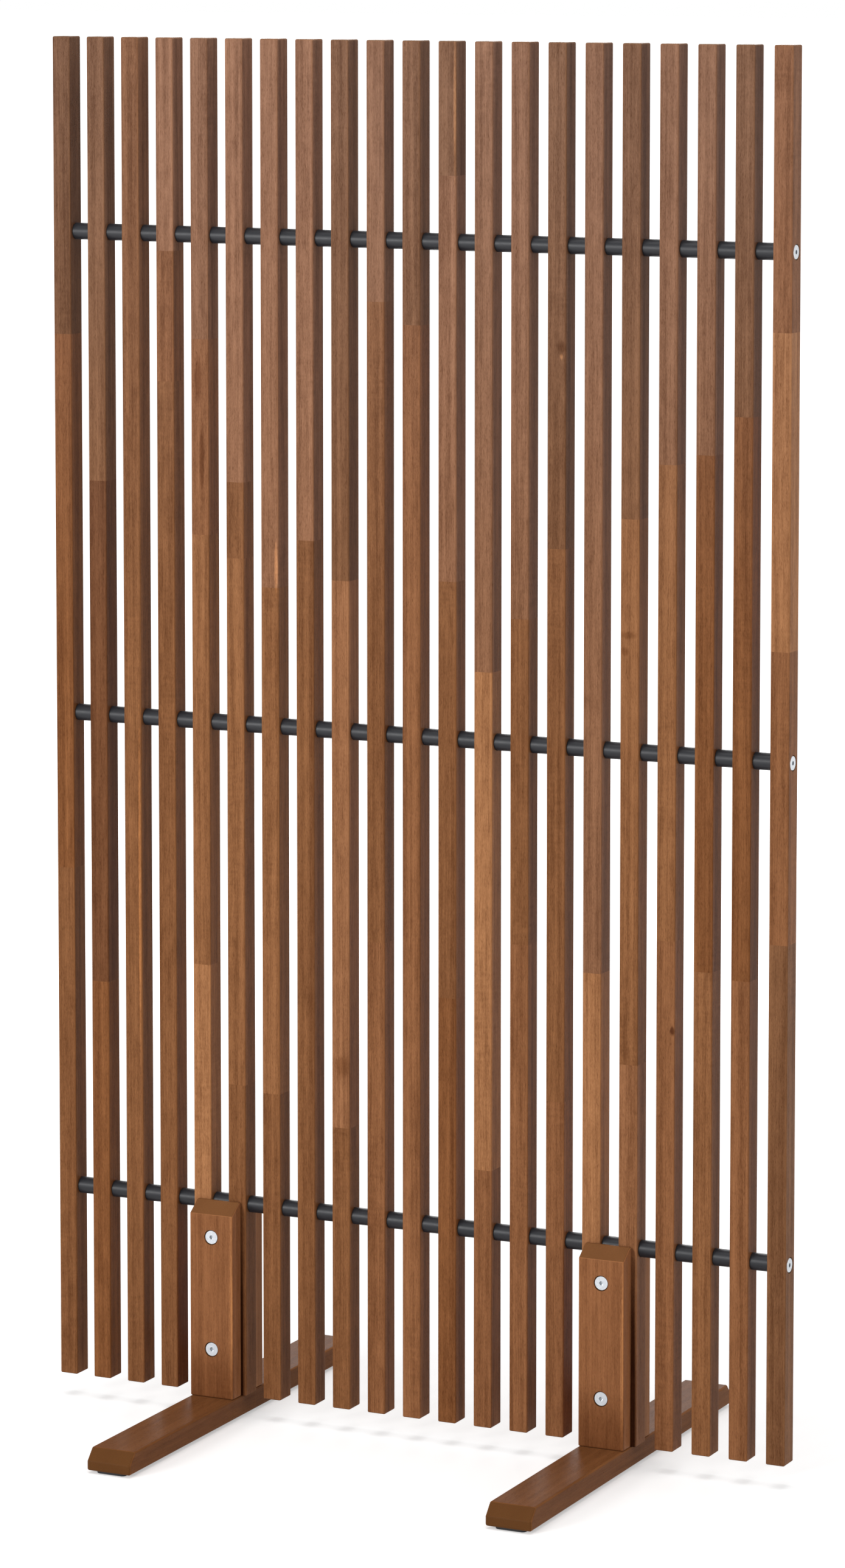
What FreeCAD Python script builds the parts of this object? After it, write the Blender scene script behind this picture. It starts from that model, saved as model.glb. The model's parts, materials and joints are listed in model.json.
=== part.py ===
"""Garden privacy screen: upright slats on tie rods, clamped to two foot beams.

All sizes are millimetres. X runs along the panel, Y from front to back and Z up. The origin is
on the floor, under the middle of the panel. Every sub-part takes its sizes and its place from
the two sheets: "dims" holds the sizes that are chosen, "calc" what follows from them.
"""
import FreeCAD, Part
import os

import Sketcher
from FreeCAD import Vector

# Chosen sizes: name, value, meaning.
DIMENSIONS = [
    # Panel of slats
    ("slat_count", 21, "number of slats"),
    ("slat_width", 22, "slat, along X"),
    ("slat_depth", 27, "slat, front to back"),
    ("slat_length", 1546, "slat, upright"),
    ("slat_gap", 22, "clear gap between two slats, and length of a spacer tube"),
    ("slat_arris", 2, "radius on the long edges of a slat"),
    ("slat_top_round", 1.8, "radius round the top end of a slat"),
    ("slat_foot_chamfer", 0.8, "chamfer round the lower end of a slat"),
    ("row_margin", 221, "slat end to the nearest tie rod"),
    # Tie rods, spacer tubes and their end nuts
    ("rod_diameter", 6, "threaded tie rod"),
    ("rod_clearance", 0.5, "added to the rod's diameter for its hole in a slat"),
    ("tube_diameter", 19, "spacer tube, outside"),
    ("tube_clearance", 0.6, "added to the rod's diameter for the tube's bore"),
    ("tube_edge", 0.6, "chamfer on the tube's outer ends"),
    ("rod_head_recess", 0.3, "end nut's head below the outer slat's face"),
    ("rod_engagement", 9, "length of the tie rod inside each end nut"),
    # Flat heads and sleeve nuts, one pattern for the whole screen
    ("head_diameter", 16, "flat head of every bolt and sleeve nut"),
    ("head_thickness", 2, "flat head"),
    ("head_rim", 0.4, "chamfer on the head's outer rim"),
    ("head_clearance", 1.6, "added to the head's diameter for its pocket"),
    ("socket_size", 4.5, "hexagon socket, across flats"),
    ("socket_depth", 3, "hexagon socket, from the head's outer face"),
    ("sleeve_diameter", 9, "barrel of a sleeve nut"),
    ("sleeve_length", 14, "barrel of a sleeve nut"),
    ("sleeve_bore_depth", 11, "threaded bore, from the barrel's end"),
    ("sleeve_clearance", 0.3, "added to the barrel's diameter for its hole"),
    ("thread_clearance", 0.2, "added to a thread's diameter for its nut"),
    # Foot beams
    ("stock_width", 54, "foot beam, front plate and rear upright, along X"),
    ("outboard_count", 4, "slats outside each clamped pair"),
    ("foot_length", 560, "foot beam, front to back"),
    ("foot_height", 24, "foot beam"),
    ("foot_nose_run", 12, "sloped end of the beam, along Y"),
    ("foot_nose_drop", 13, "sloped end of the beam, along Z"),
    ("foot_arris", 2.5, "radius on the edges of the foot beam"),
    # Clamps: front plate, rear upright and the bolts through both
    ("clamp_height", 225, "front plate and rear upright"),
    ("plate_thickness", 22, "front plate"),
    ("upright_thickness", 27, "rear upright"),
    ("top_slope_run", 18, "sloped top of plate and upright, along Y"),
    ("top_slope_drop", 12.5, "sloped top of plate and upright, along Z"),
    ("clamp_arris", 1.8, "radius on the edges of plate and upright"),
    ("bolt_diameter", 6, "clamp and foot bolts"),
    ("bolt_clearance", 0.6, "added to the bolt's diameter for its hole"),
    ("bolt_tip", 0.8, "chamfer on the end of a bolt or rod"),
    ("bolt_low", 56, "lower clamp bolt above the foot beam"),
    ("bolt_spacing", 130, "lower to upper clamp bolt"),
    ("clamp_head_recess", 1.2, "clamp heads below the face of the wood"),
    ("bolt_engagement", 9, "length of the clamp bolt inside its sleeve nut"),
    # Bolts from below, that hold the upright on the foot beam
    ("foot_bolt_spacing", 28, "between the two bolts, along X"),
    ("foot_head_depth", 7, "foot bolt's head below the underside of the beam"),
    ("foot_bolt_reach", 15, "foot bolt inside the upright"),
    ("insert_diameter", 10, "threaded insert in the upright's lower end"),
    ("insert_length", 18, "threaded insert"),
    ("insert_clearance", 0.2, "added to the insert's diameter for its hole"),
    # Pads under the foot beams
    ("pad_length", 36, "pad, along Y"),
    ("pad_width", 36, "pad, along X"),
    ("pad_height", 3, "pad"),
    ("pad_corner", 5, "radius on the pad's corners"),
    ("pad_edge", 0.5, "chamfer on the pad's lower edge"),
    ("pad_setback", 4, "beam end to pad"),
    ("pad_screw_diameter", 3, "shank"),
    ("pad_screw_length", 14, "shank, from the head's underside"),
    ("pad_screw_head", 7, "diameter of the head"),
    ("pad_screw_head_height", 1.4, "head"),
    ("pad_screw_pocket", 1.8, "depth of the head's pocket in the pad"),
    ("pad_screw_clearance", 0.5, "added to the screw's diameters for its holes"),
]

# Worked out from the chosen sizes: name, formula.
DERIVED = [
    ("pitch", "=dims.slat_width + dims.slat_gap"),
    ("panel_base", "=dims.pad_height + dims.foot_height"),
    ("first_slat_x", "=-pitch * (dims.slat_count - 1) / 2"),
    ("panel_half", "=-first_slat_x + dims.slat_width / 2"),
    ("row_spacing", "=(dims.slat_length - 2 * dims.row_margin) / 2"),
    ("low_row_z", "=panel_base + dims.row_margin"),
    ("top_row_z", "=low_row_z + 2 * row_spacing"),
    ("rod_hole", "=dims.rod_diameter + dims.rod_clearance"),
    ("tube_bore", "=dims.rod_diameter + dims.tube_clearance"),
    ("head_pocket", "=dims.head_diameter + dims.head_clearance"),
    ("sleeve_hole", "=dims.sleeve_diameter + dims.sleeve_clearance"),
    ("bolt_hole", "=dims.bolt_diameter + dims.bolt_clearance"),
    ("rod_pocket_depth", "=dims.rod_head_recess + dims.head_thickness"),
    ("rod_seat_x", "=panel_half - rod_pocket_depth"),
    ("rod_half", "=rod_seat_x - dims.sleeve_length + dims.rod_engagement"),
    ("clamp_x", "=pitch * ((dims.slat_count - 1) / 2 - dims.outboard_count - 0.5)"),
    ("slat_face", "=dims.slat_depth / 2"),
    ("clamp_pocket_depth", "=dims.clamp_head_recess + dims.head_thickness"),
    ("plate_front_y", "=-slat_face - dims.plate_thickness"),
    ("upright_back_y", "=slat_face + dims.upright_thickness"),
    ("bolt_seat_y", "=plate_front_y + clamp_pocket_depth"),
    ("nut_seat_y", "=upright_back_y - clamp_pocket_depth"),
    ("clamp_bolt_length", "=nut_seat_y - dims.sleeve_length + dims.bolt_engagement - bolt_seat_y"),
    ("sleeve_hole_depth", "=clamp_pocket_depth + dims.sleeve_length + dims.bolt_tip"),
    ("low_bolt_z", "=panel_base + dims.bolt_low"),
    ("high_bolt_z", "=low_bolt_z + dims.bolt_spacing"),
    ("upright_axis_y", "=slat_face + dims.upright_thickness / 2"),
    ("foot_seat_z", "=dims.pad_height + dims.foot_head_depth"),
    ("foot_bolt_length", "=panel_base + dims.foot_bolt_reach - foot_seat_z"),
    ("insert_hole", "=dims.insert_diameter + dims.insert_clearance"),
    ("thread_bore", "=dims.bolt_diameter + dims.thread_clearance"),
    ("pad_y", "=dims.foot_length / 2 - dims.pad_setback - dims.pad_length / 2"),
    ("pad_screw_hole", "=dims.pad_screw_diameter + dims.pad_screw_clearance"),
    ("pad_head_pocket", "=dims.pad_screw_head + dims.pad_screw_clearance"),
    ("pilot_depth", "=dims.pad_screw_length + dims.pad_screw_pocket - dims.pad_height + dims.bolt_tip"),
]

TINY = 1e-6    # lengths below this count as nothing

doc = FreeCAD.newDocument("garden_privacy_screen")
parts = []


# ---------------------------------------------------------------- sheets

def fill_sheet(name, rows):
    """A sheet with one row per value: its name in column A, the aliased value in column B."""
    sheet = doc.addObject("Spreadsheet::Sheet", name)
    for number, row in enumerate(rows, start=1):
        sheet.set(f"A{number}", row[0])
        sheet.set(f"B{number}", str(row[1]))
        sheet.setAlias(f"B{number}", row[0])
        if len(row) > 2:
            sheet.set(f"C{number}", row[2])
    doc.recompute()
    return sheet


dims = fill_sheet("dims", DIMENSIONS)
calc = fill_sheet("calc", DERIVED)


# ---------------------------------------------------------------- sketches and features

def bind(target, settings):
    """Ties properties of an object to the sheets."""
    for path, formula in settings.items():
        target.setExpression(path, formula)


def place(target, x="0", y="0", z="0"):
    """Ties the place of a sub-part to the sheets and lists it for export."""
    bind(target, {"Placement.Base.x": x, "Placement.Base.y": y, "Placement.Base.z": z})
    parts.append(target)


def new_body(label, rotation=None):
    """An empty body. Its rotation, an axis and an angle, turns it from how it is drawn."""
    body = doc.addObject("PartDesign::Body", label)
    body.Label = label
    body.AllowCompound = True
    if rotation:
        body.Placement = FreeCAD.Placement(Vector(), FreeCAD.Rotation(*rotation))
    return body


def origin_feature(body, role):
    return next(item for item in body.Origin.OriginFeatures if item.Role == role)


def new_sketch(body, plane, offset=None):
    """A sketch on one of the body's own planes, moved along the plane's normal by a formula."""
    sketch = body.newObject("Sketcher::SketchObject", f"{body.Name}_sketch")
    sketch.AttachmentSupport = [(origin_feature(body, plane), "")]
    sketch.MapMode = "FlatFace"
    if offset:
        sketch.setExpression("AttachmentOffset.Base.z", offset)
    return sketch


def fix(sketch, kind, target, formula):
    """One sketch dimension, with its value from the sheets."""
    number = sketch.addConstraint(Sketcher.Constraint(kind, *target))
    name = f"{kind.lower()}_{number}"
    sketch.renameConstraint(number, name)
    sketch.setExpression(f"Constraints.{name}", formula)


def add_circle(sketch, diameter, x="0", y="0"):
    """A circle whose centre and diameter are formulas."""
    circle = sketch.addGeometry(Part.Circle(Vector(1, 1, 0), Vector(0, 0, 1), 1), False)
    fix(sketch, "DistanceX", (-1, 1, circle, 3, 1.0), x)
    fix(sketch, "DistanceY", (-1, 1, circle, 3, 1.0), y)
    fix(sketch, "Diameter", (circle, 2.0), diameter)


def add_outline(sketch, corners):
    """A closed outline of straight lines through corners, each a pair of formulas."""
    count = len(corners)
    start = [FreeCAD.Rotation(Vector(0, 0, 1), 360 * n / count).multVec(Vector(10, 1, 0))
             for n in range(count)]
    for n in range(count):
        sketch.addGeometry(Part.LineSegment(start[n], start[(n + 1) % count]), False)
    for n, (x, y) in enumerate(corners):
        sketch.addConstraint(Sketcher.Constraint("Coincident", n, 2, (n + 1) % count, 1))
        fix(sketch, "DistanceX", (-1, 1, n, 1, start[n].x), x)
        fix(sketch, "DistanceY", (-1, 1, n, 1, start[n].y), y)


def add_rectangle(sketch, width, height):
    """A rectangle centred on the sketch's origin."""
    add_outline(sketch, [(f"{sx} * {width} / 2", f"{sy} * {height} / 2")
                         for sx, sy in ((-1, -1), (1, -1), (1, 1), (-1, 1))])


def extrude(body, sketch, length, both_ways=False):
    pad = body.newObject("PartDesign::Pad", f"{body.Name}_pad")
    pad.Profile = sketch
    pad.SideType = "Symmetric" if both_ways else "One side"
    pad.setExpression("Length", length)
    doc.recompute()
    return pad


def revolve(body, sketch):
    """A full turn about the sketch's upright axis."""
    turned = body.newObject("PartDesign::Revolution", f"{body.Name}_turned")
    turned.Profile = sketch
    turned.ReferenceAxis = (sketch, ["V_Axis"])
    turned.Angle = 360
    doc.recompute()
    return turned


def cut(body, sketch, depth=None, along_normal=False):
    """Cuts a sketch into the body, right through it where no depth is given."""
    before = body.Shape.Volume
    pocket = body.newObject("PartDesign::Pocket", f"{body.Name}_pocket")
    pocket.Profile = sketch
    if depth is None:
        pocket.SideType = "Symmetric"
        pocket.Type = "ThroughAll"
    else:
        pocket.Type = "Length"
        pocket.Reversed = along_normal
        pocket.setExpression("Length", depth)
    doc.recompute()
    if body.Shape.Volume > before - TINY:
        raise RuntimeError(f"{pocket.Label} of {body.Label} cuts nothing")
    return pocket


def edges_of(shape, test):
    return [f"Edge{n}" for n, edge in enumerate(shape.Edges, start=1) if test(edge)]


def runs_upright(edge):
    return abs(edge.tangentAt(edge.FirstParameter).z) > 0.999


def lies_level(edge):
    return edge.BoundBox.ZLength < TINY


def lies_at_base(edge):
    return edge.BoundBox.ZMax < TINY


def lies_above_base(edge):
    return lies_level(edge) and edge.BoundBox.ZMin > TINY


def round_edges(body, feature, radius, test=lambda edge: True):
    fillet = body.newObject("PartDesign::Fillet", f"{body.Name}_rounded")
    fillet.Base = (feature, edges_of(feature.Shape, test))
    fillet.setExpression("Radius", radius)
    doc.recompute()
    return fillet


def bevel_edges(body, feature, size, test):
    chamfer = body.newObject("PartDesign::Chamfer", f"{body.Name}_bevelled")
    chamfer.Base = (feature, edges_of(feature.Shape, test))
    chamfer.setExpression("Size", size)
    doc.recompute()
    return chamfer


def repeat(body, axis, count, spacing):
    """Copies the body's one solid along an axis, as separate solids of the same body."""
    pattern = body.newObject("PartDesign::LinearPattern", f"{body.Name}_row")
    pattern.TransformMode = "Whole shape"
    pattern.Direction = (origin_feature(body, axis), [""])
    bind(pattern, {"Occurrences": count, "Length": f"({spacing}) * ({count} - 1)"})
    body.Tip = pattern
    doc.recompute()


# ---------------------------------------------------------------- panel

def make_slat(number):
    """One slat, drawn upright from its own lower end. Outer slats also seat the end nuts."""
    outer = {1: -1, dims.slat_count: 1}.get(number, 0)
    body = new_body(f"slat_{number:02d}")
    section = new_sketch(body, "XY_Plane")
    add_rectangle(section, "dims.slat_width", "dims.slat_depth")
    bar = extrude(body, section, "dims.slat_length")
    bar = round_edges(body, bar, "dims.slat_arris", runs_upright)
    bar = round_edges(body, bar, "dims.slat_top_round", lies_above_base)
    bevel_edges(body, bar, "dims.slat_foot_chamfer", lies_at_base)
    heights = [f"dims.row_margin + {row} * calc.row_spacing" for row in range(3)]
    holes = new_sketch(body, "YZ_Plane")
    for height in heights:
        add_circle(holes, "calc.sleeve_hole" if outer else "calc.rod_hole", y=height)
    cut(body, holes)
    if outer:
        seats = new_sketch(body, "YZ_Plane", f"{outer} * dims.slat_width / 2")
        for height in heights:
            add_circle(seats, "calc.head_pocket", y=height)
        cut(body, seats, "calc.rod_pocket_depth", along_normal=outer < 0)
    place(body, f"calc.first_slat_x + {number - 1} * calc.pitch", z="calc.panel_base")


def make_tie_rod(name, height):
    """A threaded rod through the whole panel, drawn as its outer diameter."""
    rod = doc.addObject("Part::Cylinder", f"{name}_bar")
    bind(rod, {"Radius": "dims.rod_diameter / 2", "Height": "2 * calc.rod_half"})
    doc.recompute()
    tipped = doc.addObject("Part::Chamfer", name)
    tipped.Label = name
    tipped.Base = rod
    tip = dims.bolt_tip
    tipped.Edges = [(n, tip, tip) for n, edge in enumerate(rod.Shape.Edges, start=1)
                    if lies_level(edge)]
    tipped.Placement.Rotation = FreeCAD.Rotation(Vector(0, 1, 0), 90)
    place(tipped, "-calc.rod_half", z=height)


def make_tube_row(name, height):
    """The spacer tubes of one tie rod, one in each gap between slats."""
    body = new_body(name)
    ring = new_sketch(body, "YZ_Plane")
    add_circle(ring, "dims.tube_diameter")
    add_circle(ring, "calc.tube_bore")
    tube = extrude(body, ring, "dims.slat_gap")
    bevel_edges(body, tube, "dims.tube_edge",
                lambda edge: edge.BoundBox.XLength < TINY
                and abs(edge.BoundBox.YLength - dims.tube_diameter) < TINY)
    repeat(body, "X_Axis", "(dims.slat_count - 1)", "calc.pitch")
    place(body, "calc.first_slat_x + dims.slat_width / 2", z=height)


# ---------------------------------------------------------------- fasteners

def head_corners(diameter, thickness, rim):
    """Half outline of a flat head, from its outer face to its underside at height 0."""
    return [("0", f"-{thickness}"), (f"{diameter} / 2 - {rim}", f"-{thickness}"),
            (f"{diameter} / 2", f"-{thickness} + {rim}"), (f"{diameter} / 2", "0")]


def cut_socket(body):
    """A hexagon socket in the outer face of a flat head."""
    face = new_sketch(body, "XY_Plane", "-dims.head_thickness")
    reach = "dims.socket_size / sqrt(3)"
    add_outline(face, [(f"{reach} * cos({60 * n} deg)", f"{reach} * sin({60 * n} deg)")
                       for n in range(6)])
    cut(body, face, "dims.socket_depth", along_normal=True)


FLAT_HEAD = ("dims.head_diameter", "dims.head_thickness", "dims.head_rim")


def make_bolts(name, length, axis, spacing, rotation, x, y, z):
    """Two flat-headed bolts, drawn with the head's underside at the origin and the shank up."""
    body = new_body(name, rotation)
    shank = "dims.bolt_diameter / 2"
    outline = new_sketch(body, "XZ_Plane")
    add_outline(outline, head_corners(*FLAT_HEAD) + [
        (shank, "0"), (shank, f"{length} - dims.bolt_tip"),
        (f"{shank} - dims.bolt_tip", length), ("0", length)])
    revolve(body, outline)
    cut_socket(body)
    repeat(body, axis, "2", spacing)
    place(body, x, y, z)


def make_sleeve_nuts(name, count, axis, spacing, rotation, x, y, z):
    """Flat-headed sleeve nuts, drawn with the head's underside at the origin and the barrel up."""
    body = new_body(name, rotation)
    barrel = "dims.sleeve_diameter / 2"
    bore = "calc.thread_bore / 2"
    floor = "dims.sleeve_length - dims.sleeve_bore_depth"
    outline = new_sketch(body, "XZ_Plane")
    add_outline(outline, head_corners(*FLAT_HEAD) + [
        (barrel, "0"), (barrel, "dims.sleeve_length"), (bore, "dims.sleeve_length"),
        (bore, floor), ("0", floor)])
    revolve(body, outline)
    cut_socket(body)
    repeat(body, axis, count, spacing)
    place(body, x, y, z)


# ---------------------------------------------------------------- feet and clamps

def clamp_holes(body, outer_face, nut_side):
    """Bolt holes along Y with pockets for the heads, in a front plate or a rear upright."""
    heights = ("dims.bolt_low", "dims.bolt_low + dims.bolt_spacing")
    holes = new_sketch(body, "XZ_Plane")
    pockets = new_sketch(body, "XZ_Plane", outer_face)
    for height in heights:
        add_circle(holes, "calc.bolt_hole", y=height)
        add_circle(pockets, "calc.head_pocket", y=height)
    cut(body, holes)
    cut(body, pockets, "calc.clamp_pocket_depth", along_normal=nut_side)
    if nut_side:
        sleeves = new_sketch(body, "XZ_Plane", outer_face)
        for height in heights:
            add_circle(sleeves, "calc.sleeve_hole", y=height)
        cut(body, sleeves, "calc.sleeve_hole_depth", along_normal=True)


def clamp_block(body, thickness, towards):
    """The wood of a plate or upright: upright bar with a sloped top on its outer side."""
    side = new_sketch(body, "YZ_Plane")
    add_outline(side, [
        ("0", "0"), (f"{towards} * {thickness}", "0"),
        (f"{towards} * {thickness}", "dims.clamp_height - dims.top_slope_drop"),
        (f"{towards} * ({thickness} - dims.top_slope_run)", "dims.clamp_height"),
        ("0", "dims.clamp_height")])
    bar = extrude(body, side, "dims.stock_width", both_ways=True)
    round_edges(body, bar, "dims.clamp_arris")


def make_plate(name, x):
    """Front plate, drawn from its lower edge and its back face, which lies on the slats."""
    body = new_body(name)
    clamp_block(body, "dims.plate_thickness", -1)
    clamp_holes(body, "dims.plate_thickness", nut_side=False)
    place(body, x, "-calc.slat_face", "calc.panel_base")


def make_upright(name, x):
    """Rear upright, drawn from its lower edge and its front face, which lies on the slats."""
    body = new_body(name)
    clamp_block(body, "dims.upright_thickness", 1)
    clamp_holes(body, "-dims.upright_thickness", nut_side=True)
    inserts = new_sketch(body, "XY_Plane")
    for side in (-1, 1):
        add_circle(inserts, "calc.insert_hole", f"{side} * dims.foot_bolt_spacing / 2",
                   "dims.upright_thickness / 2")
    cut(body, inserts, "dims.insert_length", along_normal=True)
    place(body, x, "calc.slat_face", "calc.panel_base")


def make_inserts(name, x):
    """Threaded inserts in the upright's lower end, flush with it."""
    body = new_body(name)
    ring = new_sketch(body, "XY_Plane")
    add_circle(ring, "dims.insert_diameter")
    add_circle(ring, "calc.thread_bore")
    extrude(body, ring, "dims.insert_length")
    repeat(body, "X_Axis", "2", "dims.foot_bolt_spacing")
    place(body, f"{x} - dims.foot_bolt_spacing / 2", "calc.upright_axis_y", "calc.panel_base")


def make_foot(name, x):
    """Foot beam with sloped ends, drawn from the middle of its underside."""
    body = new_body(name)
    side = new_sketch(body, "YZ_Plane")
    half, shoulder = "dims.foot_length / 2", "dims.foot_height - dims.foot_nose_drop"
    add_outline(side, [
        (f"-{half}", "0"), (half, "0"), (half, shoulder),
        (f"{half} - dims.foot_nose_run", "dims.foot_height"),
        (f"-{half} + dims.foot_nose_run", "dims.foot_height"), (f"-{half}", shoulder)])
    beam = extrude(body, side, "dims.stock_width", both_ways=True)
    round_edges(body, beam, "dims.foot_arris")
    holes, pockets = new_sketch(body, "XY_Plane"), new_sketch(body, "XY_Plane")
    for side in (-1, 1):
        across = f"{side} * dims.foot_bolt_spacing / 2"
        add_circle(holes, "calc.bolt_hole", across, "calc.upright_axis_y")
        add_circle(pockets, "calc.head_pocket", across, "calc.upright_axis_y")
    cut(body, holes)
    cut(body, pockets, "dims.foot_head_depth", along_normal=True)
    pilots = new_sketch(body, "XY_Plane")
    for end in (-1, 1):
        add_circle(pilots, "dims.pad_screw_diameter", y=f"{end} * calc.pad_y")
    cut(body, pilots, "calc.pilot_depth", along_normal=True)
    place(body, x, z="dims.pad_height")


def make_pad(name, x, end):
    """Pad under one end of a foot beam, with a stepped hole for its screw."""
    body = new_body(name)
    plan = new_sketch(body, "XY_Plane")
    add_rectangle(plan, "dims.pad_width", "dims.pad_length")
    slab = extrude(body, plan, "dims.pad_height")
    slab = round_edges(body, slab, "dims.pad_corner", runs_upright)
    bevel_edges(body, slab, "dims.pad_edge",
                lambda edge: edge.BoundBox.ZMax < TINY)
    for diameter, depth in (("calc.pad_screw_hole", None),
                            ("calc.pad_head_pocket", "dims.pad_screw_pocket")):
        hole = new_sketch(body, "XY_Plane")
        add_circle(hole, diameter)
        cut(body, hole, depth, along_normal=True)
    place(body, x, f"{end} * calc.pad_y")


def make_pad_screws(name, x):
    """The two screws that hold the pads of one foot beam, with pointed ends."""
    body = new_body(name)
    shank, length = "dims.pad_screw_diameter / 2", "dims.pad_screw_length"
    outline = new_sketch(body, "XZ_Plane")
    add_outline(outline, head_corners("dims.pad_screw_head", "dims.pad_screw_head_height",
                                      "dims.head_rim") + [
        (shank, "0"), (shank, f"{length} - dims.pad_screw_diameter"), ("0", length)])
    revolve(body, outline)
    repeat(body, "Y_Axis", "2", "2 * calc.pad_y")
    place(body, x, "-calc.pad_y", "dims.pad_screw_pocket")


# ---------------------------------------------------------------- assembly

TURN_TO_BACK = (Vector(1, 0, 0), -90)    # drawn upwards, lies along +Y
TURN_TO_FRONT = (Vector(1, 0, 0), 90)    # drawn upwards, lies along -Y
TURN_TO_RIGHT = (Vector(0, 1, 0), 90)    # drawn upwards, lies along +X
TURN_TO_LEFT = (Vector(0, 1, 0), -90)    # drawn upwards, lies along -X


def make_panel():
    for number in range(1, dims.slat_count + 1):
        make_slat(number)
    rows = {"bottom": "calc.low_row_z", "middle": "calc.low_row_z + calc.row_spacing",
            "top": "calc.top_row_z"}
    for row, height in rows.items():
        make_tie_rod(f"tie_rod_{row}", height)
        make_tube_row(f"spacer_tubes_{row}", height)
    make_sleeve_nuts("rod_nuts_left", "3", "X_Axis", "calc.row_spacing", TURN_TO_RIGHT,
                     "-calc.rod_seat_x", "0", "calc.top_row_z")
    make_sleeve_nuts("rod_nuts_right", "3", "X_Axis", "calc.row_spacing", TURN_TO_LEFT,
                     "calc.rod_seat_x", "0", "calc.low_row_z")


def make_foot_set(side, x):
    make_foot(f"foot_beam_{side}", x)
    make_plate(f"clamp_plate_{side}", x)
    make_upright(f"rear_upright_{side}", x)
    make_bolts(f"clamp_bolts_{side}", "calc.clamp_bolt_length", "Y_Axis", "dims.bolt_spacing",
               TURN_TO_BACK, x, "calc.bolt_seat_y", "calc.high_bolt_z")
    make_sleeve_nuts(f"clamp_nuts_{side}", "2", "Y_Axis", "dims.bolt_spacing",
                     TURN_TO_FRONT, x, "calc.nut_seat_y", "calc.low_bolt_z")
    make_bolts(f"foot_bolts_{side}", "calc.foot_bolt_length", "X_Axis",
               "dims.foot_bolt_spacing", None, f"{x} - dims.foot_bolt_spacing / 2",
               "calc.upright_axis_y", "calc.foot_seat_z")
    make_inserts(f"upright_inserts_{side}", x)
    make_pad(f"pad_front_{side}", x, -1)
    make_pad(f"pad_rear_{side}", x, 1)
    make_pad_screws(f"pad_screws_{side}", x)


def check_and_export():
    """Refuses a failed feature or shape, then writes one file for each sub-part."""
    doc.recompute()
    for item in doc.Objects:
        if "Invalid" in item.State or "Error" in item.State:
            raise RuntimeError(f"{item.Label} failed: {item.State}")
    for part in parts:
        if part.Shape.isNull() or not part.Shape.isValid():
            raise RuntimeError(f"{part.Label} has no valid shape")
    os.makedirs("parts", exist_ok=True)
    for part in parts:
        part.Shape.exportStep(f"parts/{part.Label}.step")
        box = part.Shape.BoundBox
        print(f"{part.Label:22s} solids {len(part.Shape.Solids):2d}  volume {part.Shape.Volume:10.0f}"
              f"  x {box.XMin:8.2f} {box.XMax:8.2f}  y {box.YMin:8.2f} {box.YMax:8.2f}"
              f"  z {box.ZMin:8.2f} {box.ZMax:8.2f}")


make_panel()
make_foot_set("left", "-calc.clamp_x")
make_foot_set("right", "calc.clamp_x")
check_and_export()
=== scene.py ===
import json
import math

import bpy
from mathutils import Euler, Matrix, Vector


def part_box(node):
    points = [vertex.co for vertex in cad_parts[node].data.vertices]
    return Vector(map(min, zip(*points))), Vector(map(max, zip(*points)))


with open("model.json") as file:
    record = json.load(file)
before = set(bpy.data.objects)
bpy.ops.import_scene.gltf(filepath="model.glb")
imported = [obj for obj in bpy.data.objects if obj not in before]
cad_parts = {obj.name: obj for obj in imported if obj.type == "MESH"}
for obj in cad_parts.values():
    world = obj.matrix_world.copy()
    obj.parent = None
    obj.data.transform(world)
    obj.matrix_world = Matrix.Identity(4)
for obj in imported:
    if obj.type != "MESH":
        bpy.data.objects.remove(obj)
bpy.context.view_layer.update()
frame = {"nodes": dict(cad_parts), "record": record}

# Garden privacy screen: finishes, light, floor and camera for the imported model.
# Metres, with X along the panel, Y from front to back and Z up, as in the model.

MM = 0.001

# ---------------------------------------------------------------- the object's own pieces

SLATS = sorted(name for name in frame["nodes"] if name.startswith("slat_"))
FEET = ("foot_beam_left", "foot_beam_right")
PLATES = ("clamp_plate_left", "clamp_plate_right")
UPRIGHTS = ("rear_upright_left", "rear_upright_right")
PANEL_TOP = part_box("slat_01")[1].z

# ---------------------------------------------------------------- tones of the wood


def paint(red, green, blue):
    """A colour given in 0 to 255 as it shows on a screen, in the linear values shaders use."""
    def linear(value):
        value /= 255
        return value / 12.92 if value < 0.04045 else ((value + 0.055) / 1.055) ** 2.4
    return (linear(red), linear(green), linear(blue), 1.0)


UMBER = paint(113, 72, 46)
DARK = paint(117, 78, 50)
OLIVE = paint(124, 84, 56)
RUSSET = paint(128, 81, 48)
BROWN = paint(131, 86, 54)
TAN = paint(137, 90, 58)
GOLD = paint(141, 94, 60)
ROSE = paint(136, 94, 67)
PALE = paint(148, 100, 67)
BLUSH = paint(143, 99, 71)
HONEY = paint(162, 111, 73)
PLATE = paint(145, 95, 61)
FOOT = paint(117, 74, 43)

# What the painted sheen, a grey reflection painted into the tone of upright wood, adds at full,
# and the heights in metres where it begins and is full.
PAINTED_SHEEN = (0.010, 0.016, 0.020, 1)
PAINTED_SHEEN_HEIGHTS = 0.8, 1.6

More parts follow.
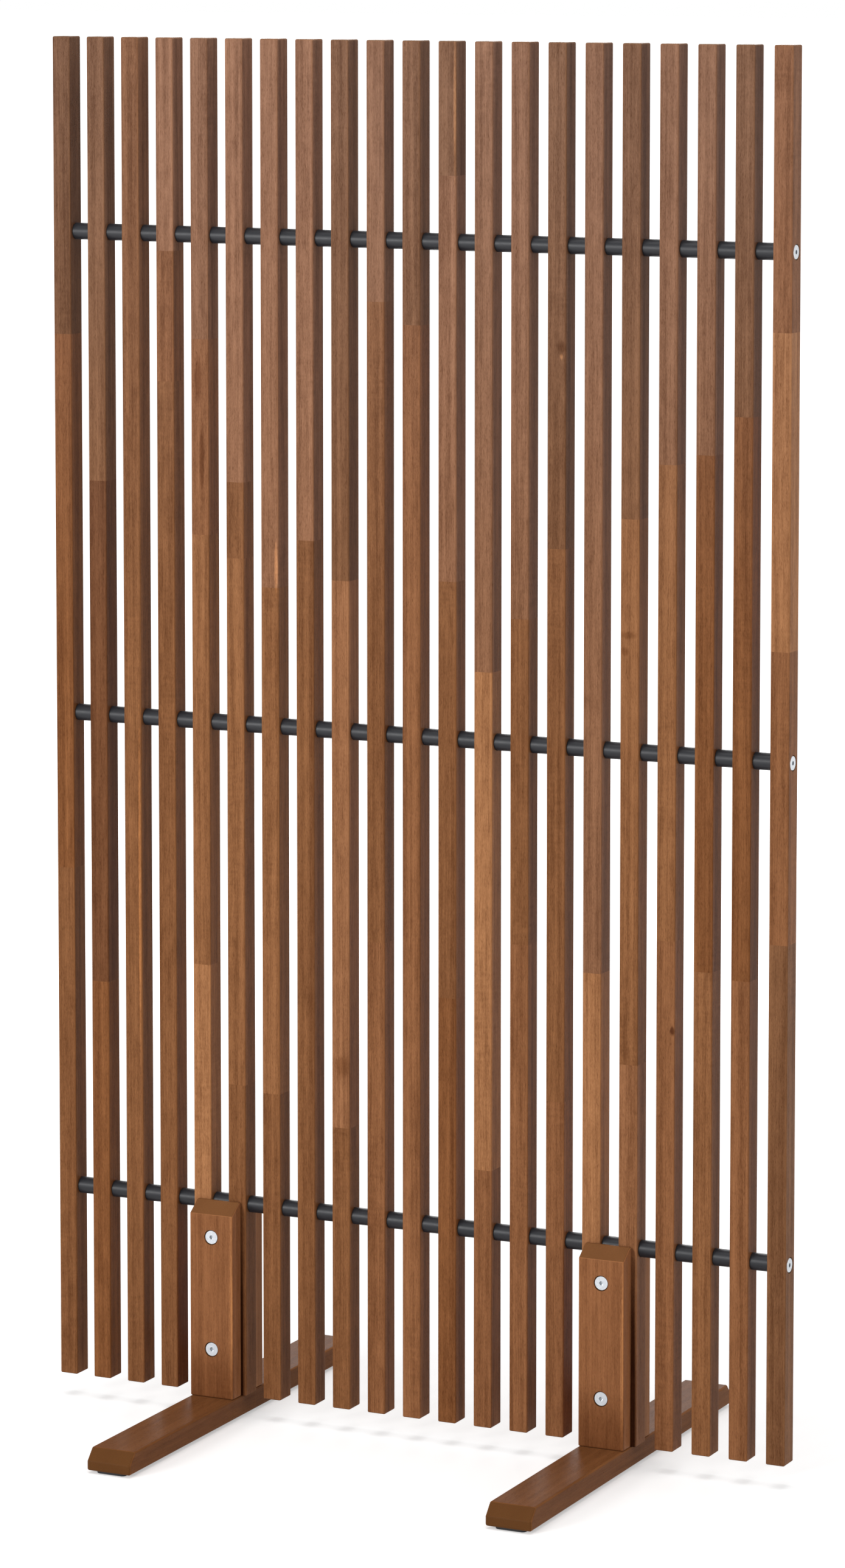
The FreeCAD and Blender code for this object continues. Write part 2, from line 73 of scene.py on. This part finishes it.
# Lengths of timber that each slat is glued up from, top to bottom: the tone of each length and
# the height of its lower end in millimetres. The last one runs down to the foot of the slat.
GLUED = {
    1: [(DARK, 1231), (RUSSET, 620), (BROWN, 0)],
    2: [(OLIVE, 1064), (UMBER, 489), (RUSSET, 0)],
    3: [(BROWN, 0)],
    4: [(BLUSH, 1331), (TAN, 1183), (BROWN, 0)],
    5: [(ROSE, 1235), (TAN, 1013), (GOLD, 517), (HONEY, 0)],
    6: [(BLUSH, 1072), (BROWN, 988), (GOLD, 384), (BROWN, 0)],
    7: [(BLUSH, 954), (GOLD, 380), (BROWN, 0)],
    8: [(BLUSH, 1013), (BROWN, 0)],
    9: [(OLIVE, 966), (PALE, 346), (BROWN, 0)],
    10: [(ROSE, 1284), (BROWN, 560), (TAN, 0)],
    11: [(OLIVE, 1259), (TAN, 0)],
    12: [(OLIVE, 1425), (BLUSH, 972), (BROWN, 509), (RUSSET, 0)],
    13: [(ROSE, 875), (HONEY, 315), (TAN, 0)],
    14: [(ROSE, 936), (BROWN, 575), (TAN, 0)],
    15: [(OLIVE, 1015), (BROWN, 403), (TAN, 0)],
    16: [(ROSE, 549), (HONEY, 0)],
    17: [(OLIVE, 1053), (GOLD, 449), (PALE, 0)],
    18: [(ROSE, 1113), (GOLD, 592), (TAN, 0)],
    19: [(ROSE, 1130), (RUSSET, 560), (GOLD, 0)],
    20: [(OLIVE, 1170), (RUSSET, 554), (TAN, 0)],
    21: [(TAN, 1263), (HONEY, 917), (TAN, 600), (OLIVE, 0)],
}

# ---------------------------------------------------------------- marks in the wood, and painted shade and highlights

# A mark multiplies the tone by one of these.
LIGHTER = (1.75, 1.70, 1.50, 1)
DARKER = (0.62, 0.54, 0.48, 1)
FAINT = (0.74, 0.68, 0.62, 1)
KNOT = (0.36, 0.28, 0.26, 1)
# Painted shade, for the slats beside the front plates.
PAINTED_SHADE = (0.18, 0.13, 0.12, 1)
# Darker, for the lower ends of the front plates.
DARKENED_END = (0.70, 0.64, 0.58, 1)
# Painted highlight, for the right edges of the front plates.
PLATE_EDGE_HIGHLIGHT = (1.48, 1.55, 1.50, 1)

# Marks in the front faces of slats: place along X from the slat's middle, height, half width
# and half height in millimetres, and what the mark does to the tone.
SLAT_MARKS = {
    3: [(8.6, 600, 1.8, 230, LIGHTER)],
    5: [(-2, 1190, 5, 34, DARKER), (3, 1100, 4, 45, DARKER)],
    7: [(8.2, 982, 2.6, 34, LIGHTER)],
    9: [(2, 421, 11, 15, FAINT)],
    12: [(9.2, 1500, 1.6, 90, LIGHTER)],
    15: [(6, 1241, 6.5, 9, DARKER), (6, 1231, 2.0, 4, LIGHTER)],
    17: [(-2, 930, 12, 5, FAINT), (-6, 912, 6, 6, FAINT)],
    18: [(8.5, 497, 3.0, 7, KNOT)],
}

# Painted shade beside a front plate, on the slat behind it, where the plate's shadow falls:
# place along X from the slat's middle and half width in millimetres. Height and half height are
# the same for both.
PLATE_SHADE_MARKS = {6: (6.0, 2.2), 17: (7.0, 5.2)}
PLATE_SHADE_HEIGHT, PLATE_SHADE_HALF_HEIGHT = 60, 210

# Marks in both front plates, as in the slats, each followed by how far its outline wanders:
# the lower end is darker, and the right edge has a painted highlight.
PLATE_MARKS = [(0, 20, 100, 75, DARKENED_END, 0.3), (25.2, 125, 2.0, 120, PLATE_EDGE_HIGHLIGHT, 1.0)]

MARK_WANDER = 0.7                # how far an outline wanders, as a share of the mark's size
MARK_FADE = 0.4, 1.1             # where a mark begins to fade and has gone, in the same shares
MARK_DEPTH = 6                   # how deep a mark reaches into the wood, in millimetres

# ---------------------------------------------------------------- noises

# Each noise is a scale in waves per metre along each axis, a detail, and a roughness where that
# isn't 0.5. The third axis of those in wood runs along the grain.

DRIFT = (11, 11, 2.6), 1.0
LAYERS = {
    "band": ((150, 150, 1.4), 2.0),
    "cloud": ((34, 34, 6.0), 2.0),
    "mottle": ((130, 130, 38), 2.0),
    "line": ((520, 520, 6.0), 3.0, 0.65),
    "thread": ((1300, 1300, 45), 2.0, 0.6),
    "speckle": ((1100, 1100, 330), 2.0),
}
PORES = (2100, 2100, 180), 1.0
CURLS = (55, 55, 230), 2.0
CURLED_PLACES = (16, 16, 5.5), 1.0
END_DOTS = (900, 900, 900), 2.0
# Patches where the painted highlight on rounded edges is stronger.
HIGHLIGHT_PATCHES = (18, 18, 5), 2.0
MARK_OUTLINE = (420, 420, 160), 2.0

TUBE_LINES = (40, 2600, 2600), 2.0
TUBE_DUST = (260, 260, 260), 3.0
ZINC_CLOUDS = (320, 320, 320), 3.0
ZINC_SCRATCHES = (2500, 2500, 300), 2.0
BRASS_CLOUDS = (400, 400, 400), 3.0
RUBBER_SPECKS = (1400, 1400, 1400), 2.0
FLOOR_SPECKS = (60, 60, 60), 2.0

# ---------------------------------------------------------------- wood in numbers

# What each layer of the grain, the curls and the pores add to its shade.
LAYER_SHARES = {"band": 1.2, "cloud": 0.5, "mottle": 0.6, "line": 0.85, "thread": 0.95,
                "speckle": 0.65}
CURL_SHARE, PORE_SHARE = 0.45, -0.35

# The part of a noise that counts: where it begins to, and where it does in full.
PORE_LEVELS = 0.58, 0.70
CURLED_LEVELS = 0.54, 0.68
# The last is for the patches of the painted highlight on rounded edges.
HIGHLIGHT_PATCH_LEVELS = 0.40, 0.66

# What the darkest and the lightest grain multiply the tone by.
DARKEST_GRAIN, LIGHTEST_GRAIN = (0.60, 0.54, 0.50, 1), (1.40, 1.46, 1.50, 1)

# The same for the dots of sawn ends and for the clouds there, and the share of those clouds.
DARKEST_DOT, LIGHTEST_DOT = (0.68, 0.72, 0.66, 1), (0.92, 0.96, 0.88, 1)
END_CLOUD, END_CLOUD_SHARE = (0.50, 0.50, 0.46, 1), 0.5

# The part of a face's normal along the grain from which it begins to be a sawn end and is one.
END_FACINGS = 0.42, 0.62

# Rounded edges get a painted highlight: what it multiplies the tone by, its share everywhere and
# what the patches where it is stronger add to that, and minus the largest part of the normal
# where an edge begins and is full.
EDGE_HIGHLIGHT_TONE = (1.60, 1.62, 1.50, 1)
EDGE_HIGHLIGHT_EVERYWHERE, HIGHLIGHT_PATCH_GAIN = 0.25, 0.6
EDGE_FACINGS = -0.995, -0.90

WOOD_ROUGHNESS, THREAD_ROUGHNESS, PORE_ROUGHNESS = 0.31, 0.12, 0.2
WOOD_SPECULAR = 0.02
PORE_HEIGHT = -0.9               # of a pore, beside lines and threads that reach 1

# Where a piece is in the noises: steps in metres for its seed, and for each colour of its tone.
SEED_STEP = 1.37, 0.71, 2.93
TONE_STEP = 7.0, 11.0, 5.0

# ---------------------------------------------------------------- other finishes in numbers

# Darkest and lightest tone, least roughness, and what the noise adds to that.
TUBE = (0.010, 0.011, 0.014, 1), (0.018, 0.019, 0.024, 1), 0.34, 0.14
ZINC = (0.42, 0.44, 0.47, 1), (0.62, 0.65, 0.68, 1), 0.24, 0.16
BRASS = (0.55, 0.38, 0.14, 1), (0.80, 0.60, 0.28, 1), 0.3, 0.2
RUBBER = (0.012, 0.012, 0.013, 1), (0.030, 0.030, 0.032, 1), 0.66, 0.2

TUBE_SPECULAR = 0.33
THREAD_SCALE = 2 / (6.283 * MM)  # of the wave texture, for ridges about 1 mm apart
THREAD_HEIGHT = 20.0             # of the ridges, beside scratches that reach 1

# How far bumps reach, in metres for a height of 1.
WOOD_RELIEF, TUBE_RELIEF, ZINC_RELIEF, RUBBER_RELIEF = 0.00006, 0.00003, 0.00001, 0.00005

# ---------------------------------------------------------------- shader nodes


class Tree:
    """Adds shader nodes to a tree. An input is either another node's output or a plain value."""

    def __init__(self, tree):
        self.tree = tree

    def feed(self, node, inputs):
        for name, value in inputs.items():
            if isinstance(value, bpy.types.NodeSocket):
                self.tree.links.new(value, node.inputs[name])
            else:
                node.inputs[name].default_value = value

    def add(self, kind, inputs=None, **settings):
        node = self.tree.nodes.new(kind)
        for name, value in settings.items():
            setattr(node, name, value)
        self.feed(node, inputs or {})
        return node

    def place(self):
        """Where the surface is, in the object's own coordinates."""
        return self.add("ShaderNodeTexCoord").outputs["Object"]

    def split(self, vector):
        return self.add("ShaderNodeSeparateXYZ", {0: vector}).outputs

    def join(self, x=0.0, y=0.0, z=0.0):
        return self.add("ShaderNodeCombineXYZ", {0: x, 1: y, 2: z}).outputs[0]

    def maths(self, operation, first, second=0.0, third=0.0):
        values = {0: first, 1: second, 2: third}
        return self.add("ShaderNodeMath", values, operation=operation).outputs[0]

    def line(self, value, slope, start):
        """The start, plus slope times the value."""
        return self.maths("MULTIPLY_ADD", value, slope, start)

    def centred(self, value):
        return self.maths("SUBTRACT", value, 0.5)

    def smoothstep(self, value, low, high):
        """0 up to low, 1 from high, and a smooth rise between them."""
        values = {"Value": value, "From Min": low, "From Max": high}
        node = self.add("ShaderNodeMapRange", values, interpolation_type="SMOOTHSTEP")
        return node.outputs["Result"]

    def vector(self, operation, first, second=(0, 0, 0)):
        node = self.add("ShaderNodeVectorMath", {0: first, 1: second}, operation=operation)
        return node.outputs[0]

    def length(self, vector):
        node = self.add("ShaderNodeVectorMath", {0: vector}, operation="LENGTH")
        return node.outputs["Value"]

    def mix(self, share, first, second, blend_type="MIX"):
        node = self.add("ShaderNodeMix", {0: share, 6: first, 7: second},
                        data_type="RGBA", blend_type=blend_type)
        return node.outputs[2]

    def times(self, colour, factor):
        return self.mix(1.0, colour, factor, "MULTIPLY")

    def noise(self, place, scale, detail, roughness=0.5, output="Fac"):
        stretched = self.vector("MULTIPLY", place, scale)
        node = self.add("ShaderNodeTexNoise", {"Vector": stretched, "Scale": 1.0,
                                               "Detail": detail, "Roughness": roughness})
        return node.outputs[output]

    def bump(self, height, relief):
        """A normal from a height, and how far in metres a height of 1 reaches."""
        values = {"Height": height, "Distance": relief, "Strength": 1.0}
        return self.add("ShaderNodeBump", values).outputs["Normal"]

    def seen(self):
        """1 for what the camera, gloss and glass see, and 0 for what only gives light."""
        path = self.add("ShaderNodeLightPath").outputs
        mirrored = self.maths("MAXIMUM", path["Is Camera Ray"], path["Is Glossy Ray"])
        return self.maths("MAXIMUM", mirrored, path["Is Transmission Ray"])


def empty_tree(owner):
    """The shader nodes of a material or a world, with none in them yet."""
    owner.use_nodes = True
    owner.node_tree.nodes.clear()
    return Tree(owner.node_tree)


def new_material(name):
    """A material, its nodes, and the shader that the caller feeds."""
    material = bpy.data.materials.new(name)
    t = empty_tree(material)
    shader = t.add("ShaderNodeBsdfPrincipled")
    output = t.add("ShaderNodeOutputMaterial", {"Surface": shader.outputs[0]})
    output.is_active_output = True
    return material, t, shader


def finish_with(material, name):
    mesh = frame["nodes"][name].data
    for index in range(len(mesh.materials)):
        mesh.materials[index] = material


# ---------------------------------------------------------------- wood

def new_grain_group():
    """The node group of the grain, with its inputs and outputs and no nodes yet."""
    group = bpy.data.node_groups.new("hardwood", "ShaderNodeTree")
    inputs = {"Place": "Vector", "Tone": "Color", "Seed": "Vector", "Ends": "Float",
              "Arris": "Float", "Figure": "Float", "Sway": "Float"}
    outputs = {"Color": "Color", "Roughness": "Float", "Height": "Float"}
    for side, sockets in (("INPUT", inputs), ("OUTPUT", outputs)):
        for name, kind in sockets.items():
            group.interface.new_socket(name, in_out=side, socket_type=f"NodeSocket{kind}")
    return group


def swayed(t, place, sway):
    """The place, moved slowly from side to side. Sway is in metres from side to side."""
    drift = t.noise(place, *DRIFT, output="Color")
    either_way = t.vector("SUBTRACT", drift, (0.5, 0.5, 0.5))
    return t.vector("ADD", place, t.vector("MULTIPLY", either_way, t.join(sway, sway)))


def grain_shade(t, place, layers, pore, figure):
    """The shade of the grain, 0.5 in the middle. A figure below 1 evens it out."""
    shade = 0.5
    for name, share in LAYER_SHARES.items():
        shade = t.line(t.centred(layers[name]), share, shade)
    curled = t.smoothstep(t.noise(place, *CURLED_PLACES), *CURLED_LEVELS)
    curl = t.maths("MULTIPLY", t.centred(t.noise(place, *CURLS)), curled)
    shade = t.line(curl, CURL_SHARE, shade)
    shade = t.line(pore, PORE_SHARE, shade)
    return t.line(t.centred(shade), figure, 0.5)


def end_tone(t, place, base, cloud):
    """Sawn ends drink more oil, and their pores show as dots."""
    dots = t.mix(t.noise(place, *END_DOTS), DARKEST_DOT, LIGHTEST_DOT)
    clouded = t.maths("MULTIPLY", cloud, END_CLOUD_SHARE)
    return t.mix(clouded, t.times(dots, base), t.times(base, END_CLOUD))


def edge_highlight_share(t, place, arris, cut):
    """How strongly rounded edges get a painted highlight, stronger in patches. The edges of sawn
    ends don't.
    """
    patchy = t.smoothstep(t.noise(place, *HIGHLIGHT_PATCHES), *HIGHLIGHT_PATCH_LEVELS)
    edge = t.maths("MULTIPLY", arris, t.maths("SUBTRACT", 1.0, cut))
    return t.maths("MULTIPLY", edge, t.line(patchy, HIGHLIGHT_PATCH_GAIN, EDGE_HIGHLIGHT_EVERYWHERE))


def make_grain_group():
    """Oiled hardwood. Its grain runs along the third axis of Place."""
    group = new_grain_group()
    t = Tree(group)
    given = t.add("NodeGroupInput").outputs
    base = given["Tone"]
    place = swayed(t, t.vector("ADD", given["Place"], given["Seed"]), given["Sway"])
    layers = {name: t.noise(place, *noise) for name, noise in LAYERS.items()}
    pore = t.smoothstep(t.noise(place, *PORES), *PORE_LEVELS)

    shade = grain_shade(t, place, layers, pore, given["Figure"])
    tone = t.mix(shade, t.times(base, DARKEST_GRAIN), t.times(base, LIGHTEST_GRAIN))
    cut = t.smoothstep(given["Ends"], *END_FACINGS)
    tone = t.mix(cut, tone, end_tone(t, place, base, layers["cloud"]))
    # Painted highlight along rounded edges.
    highlighted = edge_highlight_share(t, place, given["Arris"], cut)
    tone = t.mix(highlighted, tone, t.times(base, EDGE_HIGHLIGHT_TONE))

    roughness = t.line(t.centred(layers["thread"]), THREAD_ROUGHNESS, WOOD_ROUGHNESS)
    roughness = t.line(pore, PORE_ROUGHNESS, roughness)
    height = t.line(pore, PORE_HEIGHT, t.maths("ADD", layers["line"], layers["thread"]))
    t.add("NodeGroupOutput", {"Color": tone, "Roughness": roughness, "Height": height})
    return group


def turned(t, vector):
    """The vector with its second part last, where the grain runs."""
    parts = t.split(vector)
    return t.join(parts[2], parts[0], parts[1])


def make_wood(name, grain, tone_of, seed, lying=False, figure=1.0, sway=0.006, highlight_strength=1.0,
              marks=()):
    """Hardwood whose grain is upright, or runs along Y in a lying piece.

    The tone comes from the nodes that tone_of adds. Each of the marks is what marked() takes
    after the tone.
    """
    material, t, shader = new_material(name)
    spot = t.add("ShaderNodeTexCoord").outputs
    place, normal = spot["Object"], spot["Normal"]
    if lying:
        place = turned(t, place)
        normal = turned(t, normal)
    facing = t.split(t.vector("ABSOLUTE", normal))
    squarest = t.maths("MAXIMUM", t.maths("MAXIMUM", facing[0], facing[1]), facing[2])
    arris = t.smoothstep(t.maths("MULTIPLY", squarest, -1.0), *EDGE_FACINGS)
    tone = tone_of(t, place)
    shift = t.vector("ADD", t.join(*(seed * step for step in SEED_STEP)),
                     t.vector("MULTIPLY", tone, TONE_STEP))
    # Upright pieces get a painted sheen towards the top of the panel.
    if not lying:
        tone = with_painted_sheen(t, place, tone)
    for mark in marks:
        tone = marked(t, place, tone, *mark)
    wood = t.add("ShaderNodeGroup", node_tree=grain)
    # Arris carries the painted highlight on rounded edges, scaled by the argument after sway.
    t.feed(wood, {"Place": place, "Tone": tone, "Seed": shift, "Ends": facing[2],
                  "Arris": t.maths("MULTIPLY", arris, highlight_strength), "Figure": figure, "Sway": sway})
    made = wood.outputs
    t.feed(shader, {"Base Color": made["Color"], "Roughness": made["Roughness"],
                    "Specular IOR Level": WOOD_SPECULAR,
                    "Normal": t.bump(made["Height"], WOOD_RELIEF)})
    return material


def glued_tone(pieces):
    """Nodes for the tone of a slat that is glued up from several lengths, top to bottom."""
    def build(t, place):
        height = t.maths("DIVIDE", t.split(place)[2], PANEL_TOP)
        ramp = t.add("ShaderNodeValToRGB", {0: height})
        ramp.color_ramp.interpolation = "CONSTANT"
        stops = ramp.color_ramp.elements
        stops.remove(stops[1])
        for index, (tone, lower_end) in enumerate(reversed(pieces)):
            position = lower_end * MM / PANEL_TOP
            stop = stops[0] if index == 0 else stops.new(position)
            stop.position = position
            stop.color = tone
        return ramp.outputs["Color"]
    return build


def even_tone(tone):
    """Nodes for the tone of a piece that is one length of timber."""
    def build(t, place):
        node = t.add("ShaderNodeRGB")
        node.outputs[0].default_value = tone
        return node.outputs[0]
    return build


def with_painted_sheen(t, place, tone):
    """The tone with a little grey in it towards the top of the panel: a painted sheen."""
    share = t.smoothstep(t.split(place)[2], *PAINTED_SHEEN_HEIGHTS)
    return t.mix(1.0, tone, t.mix(share, (0, 0, 0, 1), PAINTED_SHEEN), "ADD")


def marked(t, place, tone, front, x, z, half_width, half_height, change, wander=MARK_WANDER):
    """The tone with one soft-edged mark in a front face.

    The face is at front along Y in metres. The rest is in millimetres, with X from the middle
    of the panel. Wander is a share of the mark's size.
    """
    middle = (x * MM, front, z * MM)
    size = (half_width * MM, MARK_DEPTH * MM, half_height * MM)
    distance = t.length(t.vector("DIVIDE", t.vector("SUBTRACT", place, middle), size))
    ragged = t.line(t.centred(t.noise(place, *MARK_OUTLINE)), wander, distance)
    outside = t.smoothstep(ragged, *MARK_FADE)
    return t.mix(outside, t.times(tone, change), tone)


def marks_on(name, marks):
    """The marks of one piece as marked() takes them. In marks, X is from the piece's middle."""
    low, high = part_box(name)
    middle = (low.x + high.x) / 2 / MM
    return [(low.y, middle + x, *rest) for x, *rest in marks]


def slat_marks(number):
    marks = list(SLAT_MARKS.get(number, ()))
    # Painted shade where a front plate shades the slat behind it.
    if number in PLATE_SHADE_MARKS:
        x, half_width = PLATE_SHADE_MARKS[number]
        marks.append((x, PLATE_SHADE_HEIGHT, half_width, PLATE_SHADE_HALF_HEIGHT, PAINTED_SHADE, 0.0))
    return marks


def dress_wood():
    grain = make_grain_group()
    for name in SLATS:
        number = int(name.split("_")[1])
        # Slats get a weaker painted highlight on their rounded edges.
        wood = make_wood(f"wood_{name}", grain, glued_tone(GLUED[number]), number,
                         highlight_strength=0.45, marks=marks_on(name, slat_marks(number)))
        finish_with(wood, name)
    for seed, name in enumerate(FEET, start=31):
        wood = make_wood(f"wood_{name}", grain, even_tone(FOOT), seed, lying=True,
                         figure=0.6, sway=0.003)
        finish_with(wood, name)
    for seed, name in enumerate(PLATES, start=41):
        wood = make_wood(f"wood_{name}", grain, even_tone(PLATE), seed,
                         figure=0.7, sway=0.0015, marks=marks_on(name, PLATE_MARKS))
        finish_with(wood, name)
    for seed, name in enumerate(UPRIGHTS, start=51):
        wood = make_wood(f"wood_{name}", grain, even_tone(HONEY), seed, figure=0.6)
        finish_with(wood, name)


# ---------------------------------------------------------------- other finishes

def colour(t, shader, noise, look):
    """Feeds the shader a tone and a roughness that follow a noise."""
    darkest, lightest, least, rise = look
    t.feed(shader, {"Base Color": t.mix(noise, darkest, lightest),
                    "Roughness": t.line(noise, rise, least)})


def make_tube_finish():
    """Satin black tube with faint drawing lines along it."""
    material, t, shader = new_material("satin_black_tube")
    place = t.place()
    colour(t, shader, t.noise(place, *TUBE_DUST), TUBE)
    t.feed(shader, {"Specular IOR Level": TUBE_SPECULAR,
                    "Normal": t.bump(t.noise(place, *TUBE_LINES), TUBE_RELIEF)})
    return material


def make_zinc(name, threaded=False):
    """Zinc plated steel. A threaded rod gets the ridges of its thread."""
    material, t, shader = new_material(name)
    place = t.place()
    colour(t, shader, t.noise(place, *ZINC_CLOUDS), ZINC)
    height = t.noise(place, *ZINC_SCRATCHES)
    if threaded:
        ridges = t.add("ShaderNodeTexWave", {"Vector": place, "Scale": THREAD_SCALE},
                       bands_direction="X")
        height = t.line(ridges.outputs["Fac"], THREAD_HEIGHT, height)
    t.feed(shader, {"Metallic": 1.0, "Normal": t.bump(height, ZINC_RELIEF)})
    return material


def make_brass():
    """Plain brass, slightly clouded."""
    material, t, shader = new_material("plain_brass")
    colour(t, shader, t.noise(t.place(), *BRASS_CLOUDS), BRASS)
    t.feed(shader, {"Metallic": 1.0})
    return material


def make_rubber():
    """Matte black rubber with a fine moulded texture."""
    material, t, shader = new_material("black_rubber")
    specks = t.noise(t.place(), *RUBBER_SPECKS)
    colour(t, shader, specks, RUBBER)
    t.feed(shader, {"Normal": t.bump(specks, RUBBER_RELIEF)})
    return material


def dress_fittings():
    """Gives tubes, rods, fasteners and pads the finish of their material slot."""
    by_slot = {
        "black_tube": make_tube_finish(),
        "zinc_fastener": make_zinc("zinc_plate"),
        "steel_rod": make_zinc("zinc_thread", threaded=True),
        "brass_insert": make_brass(),
        "black_pad": make_rubber(),
    }
    for part in frame["record"]["subparts"]:
        if part["material_slot"] in by_slot:
            finish_with(by_slot[part["material_slot"]], part["node"])


# ---------------------------------------------------------------- studio

WHITE = (1, 1, 1, 1)
ROOM_LEVEL = 0.38                # of the light from all round
FLOOR_HALF = 70.0                # half the side of the floor, in metres
DARKEST_FLOOR, LIGHTEST_FLOOR = (0.79, 0.79, 0.79, 1), (0.81, 0.81, 0.81, 1)
FLOOR_GLOW, GLOW_RISE = 0.42, 0.55    # of the floor at the object, and how much more far off
FLOOR_FADE = 0.8, 3.2            # from the object, in metres: where that rise begins and ends

# Each lamp's place, the point that it is aimed at, its side in metres and its level.
LAMPS = {
    "key": ((-1.95, -4.05, 1.6), (0, 0, 1.2), 1.5, 14.5),
    "right": ((4.9, -0.8, 0.9), (0, 0, 0.5), 1.8, 4.4),
    "overhead": ((0.0, -0.2, 4.4), (0, 0, 0.8), 2.8, 3.6),
    "rear": ((-1.6, 4.2, 2.4), (0, 0, 0.8), 2.0, 2.9),
}


def make_floor_finish():
    """White and open from below. Far from the object it fades into the background."""
    material = bpy.data.materials.new("studio_floor")
    t = empty_tree(material)
    place = t.place()
    grey = t.mix(t.noise(place, *FLOOR_SPECKS), DARKEST_FLOOR, LIGHTEST_FLOOR)
    matt = t.add("ShaderNodeBsdfDiffuse", {"Color": grey})
    glow = t.line(t.smoothstep(t.length(place), *FLOOR_FADE), GLOW_RISE, FLOOR_GLOW)
    lift = t.add("ShaderNodeEmission",
                 {"Color": WHITE, "Strength": t.maths("MULTIPLY", t.seen(), glow)})
    lit = t.add("ShaderNodeAddShader", {0: matt.outputs[0], 1: lift.outputs[0]})
    clear = t.add("ShaderNodeBsdfTransparent")
    below = t.add("ShaderNodeNewGeometry").outputs["Backfacing"]
    sided = t.add("ShaderNodeMixShader", {0: below, 1: lit.outputs[0], 2: clear.outputs[0]})
    t.add("ShaderNodeOutputMaterial", {"Surface": sided.outputs[0]})
    return material


def make_floor():
    mesh = bpy.data.meshes.new("studio_floor")
    signs = ((-1, -1), (1, -1), (1, 1), (-1, 1))
    corners = [(x * FLOOR_HALF, y * FLOOR_HALF, 0) for x, y in signs]
    mesh.from_pydata(corners, [], [(0, 1, 2, 3)])
    mesh.materials.append(make_floor_finish())
    floor = bpy.data.objects.new("studio_floor", mesh)
    bpy.context.scene.collection.objects.link(floor)


def make_world():
    """Soft light from all round. What the camera, gloss and glass see of it is white."""
    world = bpy.data.worlds.new("studio")
    bpy.context.scene.world = world
    t = empty_tree(world)
    room = t.add("ShaderNodeBackground", {"Color": WHITE, "Strength": ROOM_LEVEL})
    white = t.add("ShaderNodeBackground", {"Color": WHITE, "Strength": 1.0})
    mixed = t.add("ShaderNodeMixShader", {0: t.seen(), 1: room.outputs[0], 2: white.outputs[0]})
    t.add("ShaderNodeOutputWorld", {"Surface": mixed.outputs[0]})


def add_softbox(name, place, target, side, level):
    """A square lamp aimed at a point. Its level is the radiance of its face."""
    lamp = bpy.data.lights.new(name, "AREA")
    lamp.shape = "SQUARE"
    lamp.size = side
    lamp.energy = level * side * side * math.pi
    box = bpy.data.objects.new(name, lamp)
    bpy.context.scene.collection.objects.link(box)
    box.location = place
    box.rotation_euler = (Vector(target) - Vector(place)).to_track_quat("-Z", "Y").to_euler()
    box.visible_camera = False


def light_studio():
    for name, settings in LAMPS.items():
        add_softbox(name, *settings)


# ---------------------------------------------------------------- camera

# Height, focal length and the row that the lens points at are in pixels of the photograph.
PHOTO_HEIGHT, FOCAL_LENGTH, AXIS_ROW = 2576, 9028, 720
SENSOR = 36.0                    # in millimetres, along the height
CAMERA_PLACE = (2.614, -5.464, 1.726)
HORIZONTAL_TURN = math.radians(25.5)
DOWNWARD_TILT = math.radians(5.59)


def add_camera():
    lens = bpy.data.cameras.new("camera")
    lens.sensor_width = SENSOR
    lens.lens = FOCAL_LENGTH * SENSOR / PHOTO_HEIGHT
    lens.shift_y = (AXIS_ROW - PHOTO_HEIGHT / 2) / PHOTO_HEIGHT
    camera = bpy.data.objects.new("camera", lens)
    bpy.context.scene.collection.objects.link(camera)
    camera.location = CAMERA_PLACE
    camera.rotation_euler = Euler((math.pi / 2 - DOWNWARD_TILT, 0, HORIZONTAL_TURN))
    bpy.context.scene.camera = camera


dress_wood()
dress_fittings()
make_floor()
make_world()
light_studio()
add_camera()
bpy.context.scene.view_settings.view_transform = "Standard"
